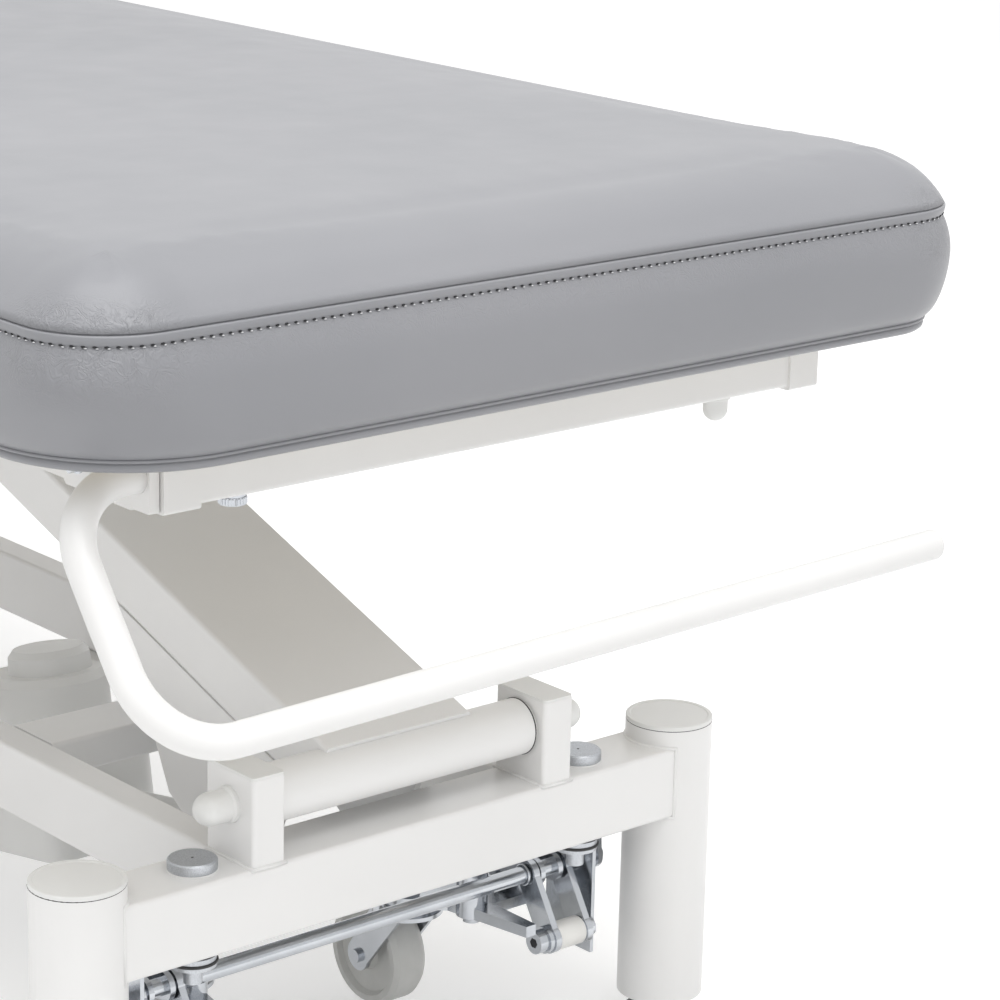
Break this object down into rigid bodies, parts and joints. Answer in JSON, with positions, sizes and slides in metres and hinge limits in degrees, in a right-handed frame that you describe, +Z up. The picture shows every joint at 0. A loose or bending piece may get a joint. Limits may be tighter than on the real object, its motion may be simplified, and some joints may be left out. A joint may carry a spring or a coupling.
{
  "type": "examination couch",
  "caption": "Height-adjustable examination couch: steel base with columns, parallel lift arms, padded two-section top, paper roll bar and retractable castors.",
  "frame": {"origin": "floor level under the centre of the whole couch's bounding box", "axes": "+Z up; +Y from the foot end, which carries the paper roll holder, to the head end; +X to the right as seen from the foot end looking along +Y"},
  "size_m": [0.7, 1.935, 0.639],
  "materials": {
    "powder_coat": "satin white powder coat on steel",
    "white_plastic": "matt moulded plastic, off-white",
    "zinc": "bright zinc plate",
    "rubber": "matt black",
    "black_enamel": "gloss black",
    "castor_tyre": "light grey non-marking tread",
    "plywood": "light birch plywood, bare underside",
    "vinyl": "grained coated upholstery, satin"
  },
  "bodies": {
    "base": {"front_cross_beam": "powder_coat", "rear_cross_beam": "powder_coat", "long_beams": "powder_coat", "cross_members": "powder_coat", "columns": "powder_coat", "column_caps": "white_plastic", "floor_feet": "rubber", "pivot_posts": "powder_coat", "post_caps": "white_plastic", "pivot_axles": "zinc", "axle_cap_nuts": "white_plastic", "guide_pins": "zinc", "shaft_brackets": "zinc", "actuator_bracket": "powder_coat"},
    "front_arm": {"front_arm_box": "powder_coat", "front_arm_gussets": "powder_coat", "front_pivot_tube": "powder_coat", "front_head_tube": "powder_coat", "front_arm_bushes": "white_plastic", "lever_bolts": "zinc"},
    "rear_arm": {"rear_arm_box": "powder_coat", "rear_pivot_tube": "powder_coat", "rear_head_tube": "powder_coat", "rear_arm_bushes": "white_plastic"},
    "top_frame": {"side_rails": "powder_coat", "end_rail": "powder_coat", "rail_sleeves": "powder_coat", "cross_rails": "powder_coat", "arm_brackets": "powder_coat", "head_axles": "zinc", "frame_bolts": "zinc", "rail_cap": "white_plastic", "side_bracket": "powder_coat", "seat_board": "plywood", "seat_pad": "vinyl", "seat_hinge_straps": "zinc", "control_box": "white_plastic"},
    "backrest": {"backrest_frame": "powder_coat", "backrest_board": "plywood", "backrest_pad": "vinyl", "backrest_hinge_straps": "zinc"},
    "gas_cylinder": {"gas_spring_cylinder": "black_enamel"},
    "gas_rod": {"gas_spring_rod": "zinc"},
    "actuator_body": {"actuator_housing": "white_plastic"},
    "actuator_piston": {"actuator_rod": "zinc"},
    "roll_holder": {"holder_plug": "powder_coat", "holder_tube": "powder_coat"},
    "front_shaft": {"front_pedal_shaft": "zinc"},
    "rear_shaft": {"rear_pedal_shaft": "zinc"},
    "link": {"pedal_link": "zinc"},
    "carriers_front": {"front_carriers": "zinc"},
    "carriers_rear": {"rear_carriers": "zinc"},
    "fork_front_left": {"castor_fork_front_left": "zinc"},
    "wheel_front_left": {"castor_wheel_front_left": "castor_tyre"},
    "fork_front_right": {"castor_fork_front_right": "zinc"},
    "wheel_front_right": {"castor_wheel_front_right": "castor_tyre"},
    "fork_rear_left": {"castor_fork_rear_left": "zinc"},
    "wheel_rear_left": {"castor_wheel_rear_left": "castor_tyre"},
    "fork_rear_right": {"castor_fork_rear_right": "zinc"},
    "wheel_rear_right": {"castor_wheel_rear_right": "castor_tyre"}
  },
  "joints": [
    {"name": "lift", "type": "hinge", "parent": "base", "child": "front_arm", "pos_m": [0, -0.7625, 0.2515], "axis": [1, 0, 0], "range_deg": [-11, 27]},
    {"name": "rear_arm_pivot", "type": "hinge", "parent": "base", "child": "rear_arm", "pos_m": [0, 0.1167, 0.2515], "axis": [1, 0, 0], "range_deg": [-12, 28]},
    {"name": "front_head_pivot", "type": "hinge", "parent": "front_arm", "child": "top_frame", "pos_m": [0, -0.08173, 0.48591], "axis": [1, 0, 0], "range_deg": [-28, 12]},
    {"name": "actuator_foot", "type": "hinge", "parent": "base", "child": "actuator_body", "pos_m": [0, -0.2905, 0.09], "axis": [1, 0, 0], "range_deg": [-9, 4]},
    {"name": "actuator_stroke", "type": "slide", "parent": "actuator_body", "child": "actuator_piston", "axis": [0, -0.9844, 0.1758], "range_m": [-0.036, 0.016]},
    {"name": "backrest_hinge", "type": "hinge", "parent": "top_frame", "child": "backrest", "pos_m": [0, 0.2715, 0.62401], "axis": [1, 0, 0], "range_deg": [0, 70]},
    {"name": "gas_spring_foot", "type": "hinge", "parent": "top_frame", "child": "gas_cylinder", "pos_m": [0.165, 0.3395, 0.43071], "axis": [1, 0, 0], "range_deg": [-1, 75]},
    {"name": "gas_spring_stroke", "type": "slide", "parent": "gas_cylinder", "child": "gas_rod", "axis": [0, 0.9743, 0.2253], "range_m": [-0.001, 0.25]},
    {"name": "roll_holder_slide", "type": "slide", "parent": "top_frame", "child": "roll_holder", "axis": [-1, 0, 0], "range_m": [0, 0.055]},
    {"name": "castor_pedal", "type": "hinge", "parent": "base", "child": "front_shaft", "pos_m": [0, -0.7255, 0.123], "axis": [-1, 0, 0], "range_deg": [0, 28]},
    {"name": "rear_pedal_shaft_turn", "type": "hinge", "parent": "base", "child": "rear_shaft", "pos_m": [0, 0.7605, 0.123], "axis": [1, 0, 0], "range_deg": [0, 28]},
    {"name": "pedal_link_pivot", "type": "hinge", "parent": "front_shaft", "child": "link", "pos_m": [0.201, -0.7255, 0.153], "axis": [-1, 0, 0], "range_deg": [-28.3, 0]},
    {"name": "front_carrier_drop", "type": "slide", "parent": "base", "child": "carriers_front", "axis": [0, 0, -1], "range_m": [0, 0.0197]},
    {"name": "rear_carrier_drop", "type": "slide", "parent": "base", "child": "carriers_rear", "axis": [0, 0, -1], "range_m": [0, 0.0197]},
    {"name": "castor_swivel_front_left", "type": "hinge", "parent": "carriers_front", "child": "fork_front_left", "pos_m": [-0.098, -0.6575, 0.097], "axis": [0, 0, 1], "continuous": true},
    {"name": "castor_roll_front_left", "type": "hinge", "parent": "fork_front_left", "child": "wheel_front_left", "pos_m": [-0.098, -0.6255, 0.0455], "axis": [1, 0, 0], "continuous": true},
    {"name": "castor_swivel_front_right", "type": "hinge", "parent": "carriers_front", "child": "fork_front_right", "pos_m": [0.098, -0.6575, 0.097], "axis": [0, 0, 1], "continuous": true},
    {"name": "castor_roll_front_right", "type": "hinge", "parent": "fork_front_right", "child": "wheel_front_right", "pos_m": [0.098, -0.6255, 0.0455], "axis": [1, 0, 0], "continuous": true},
    {"name": "castor_swivel_rear_left", "type": "hinge", "parent": "carriers_rear", "child": "fork_rear_left", "pos_m": [-0.098, 0.6925, 0.097], "axis": [0, 0, 1], "continuous": true},
    {"name": "castor_roll_rear_left", "type": "hinge", "parent": "fork_rear_left", "child": "wheel_rear_left", "pos_m": [-0.098, 0.6605, 0.0455], "axis": [1, 0, 0], "continuous": true},
    {"name": "castor_swivel_rear_right", "type": "hinge", "parent": "carriers_rear", "child": "fork_rear_right", "pos_m": [0.098, 0.6925, 0.097], "axis": [0, 0, 1], "continuous": true},
    {"name": "castor_roll_rear_right", "type": "hinge", "parent": "fork_rear_right", "child": "wheel_rear_right", "pos_m": [0.098, 0.6605, 0.0455], "axis": [1, 0, 0], "continuous": true}
  ],
  "couplings": [
    {"joint": "rear_arm_pivot", "follows": "lift", "ratio": 1},
    {"joint": "front_head_pivot", "follows": "lift", "ratio": -1},
    {"joint": "actuator_foot", "follows": "lift", "ratio": -0.28875},
    {"joint": "actuator_stroke", "follows": "lift", "m_per_rad": -0.054957},
    {"joint": "gas_spring_foot", "follows": "backrest_hinge", "ratio": 0.84},
    {"joint": "gas_spring_stroke", "follows": "backrest_hinge", "m_per_rad": 0.187},
    {"joint": "rear_pedal_shaft_turn", "follows": "castor_pedal", "ratio": 1},
    {"joint": "pedal_link_pivot", "follows": "castor_pedal", "ratio": -1.0096},
    {"joint": "front_carrier_drop", "follows": "castor_pedal", "m_per_rad": 0.04},
    {"joint": "rear_carrier_drop", "follows": "castor_pedal", "m_per_rad": 0.04}
  ]
}
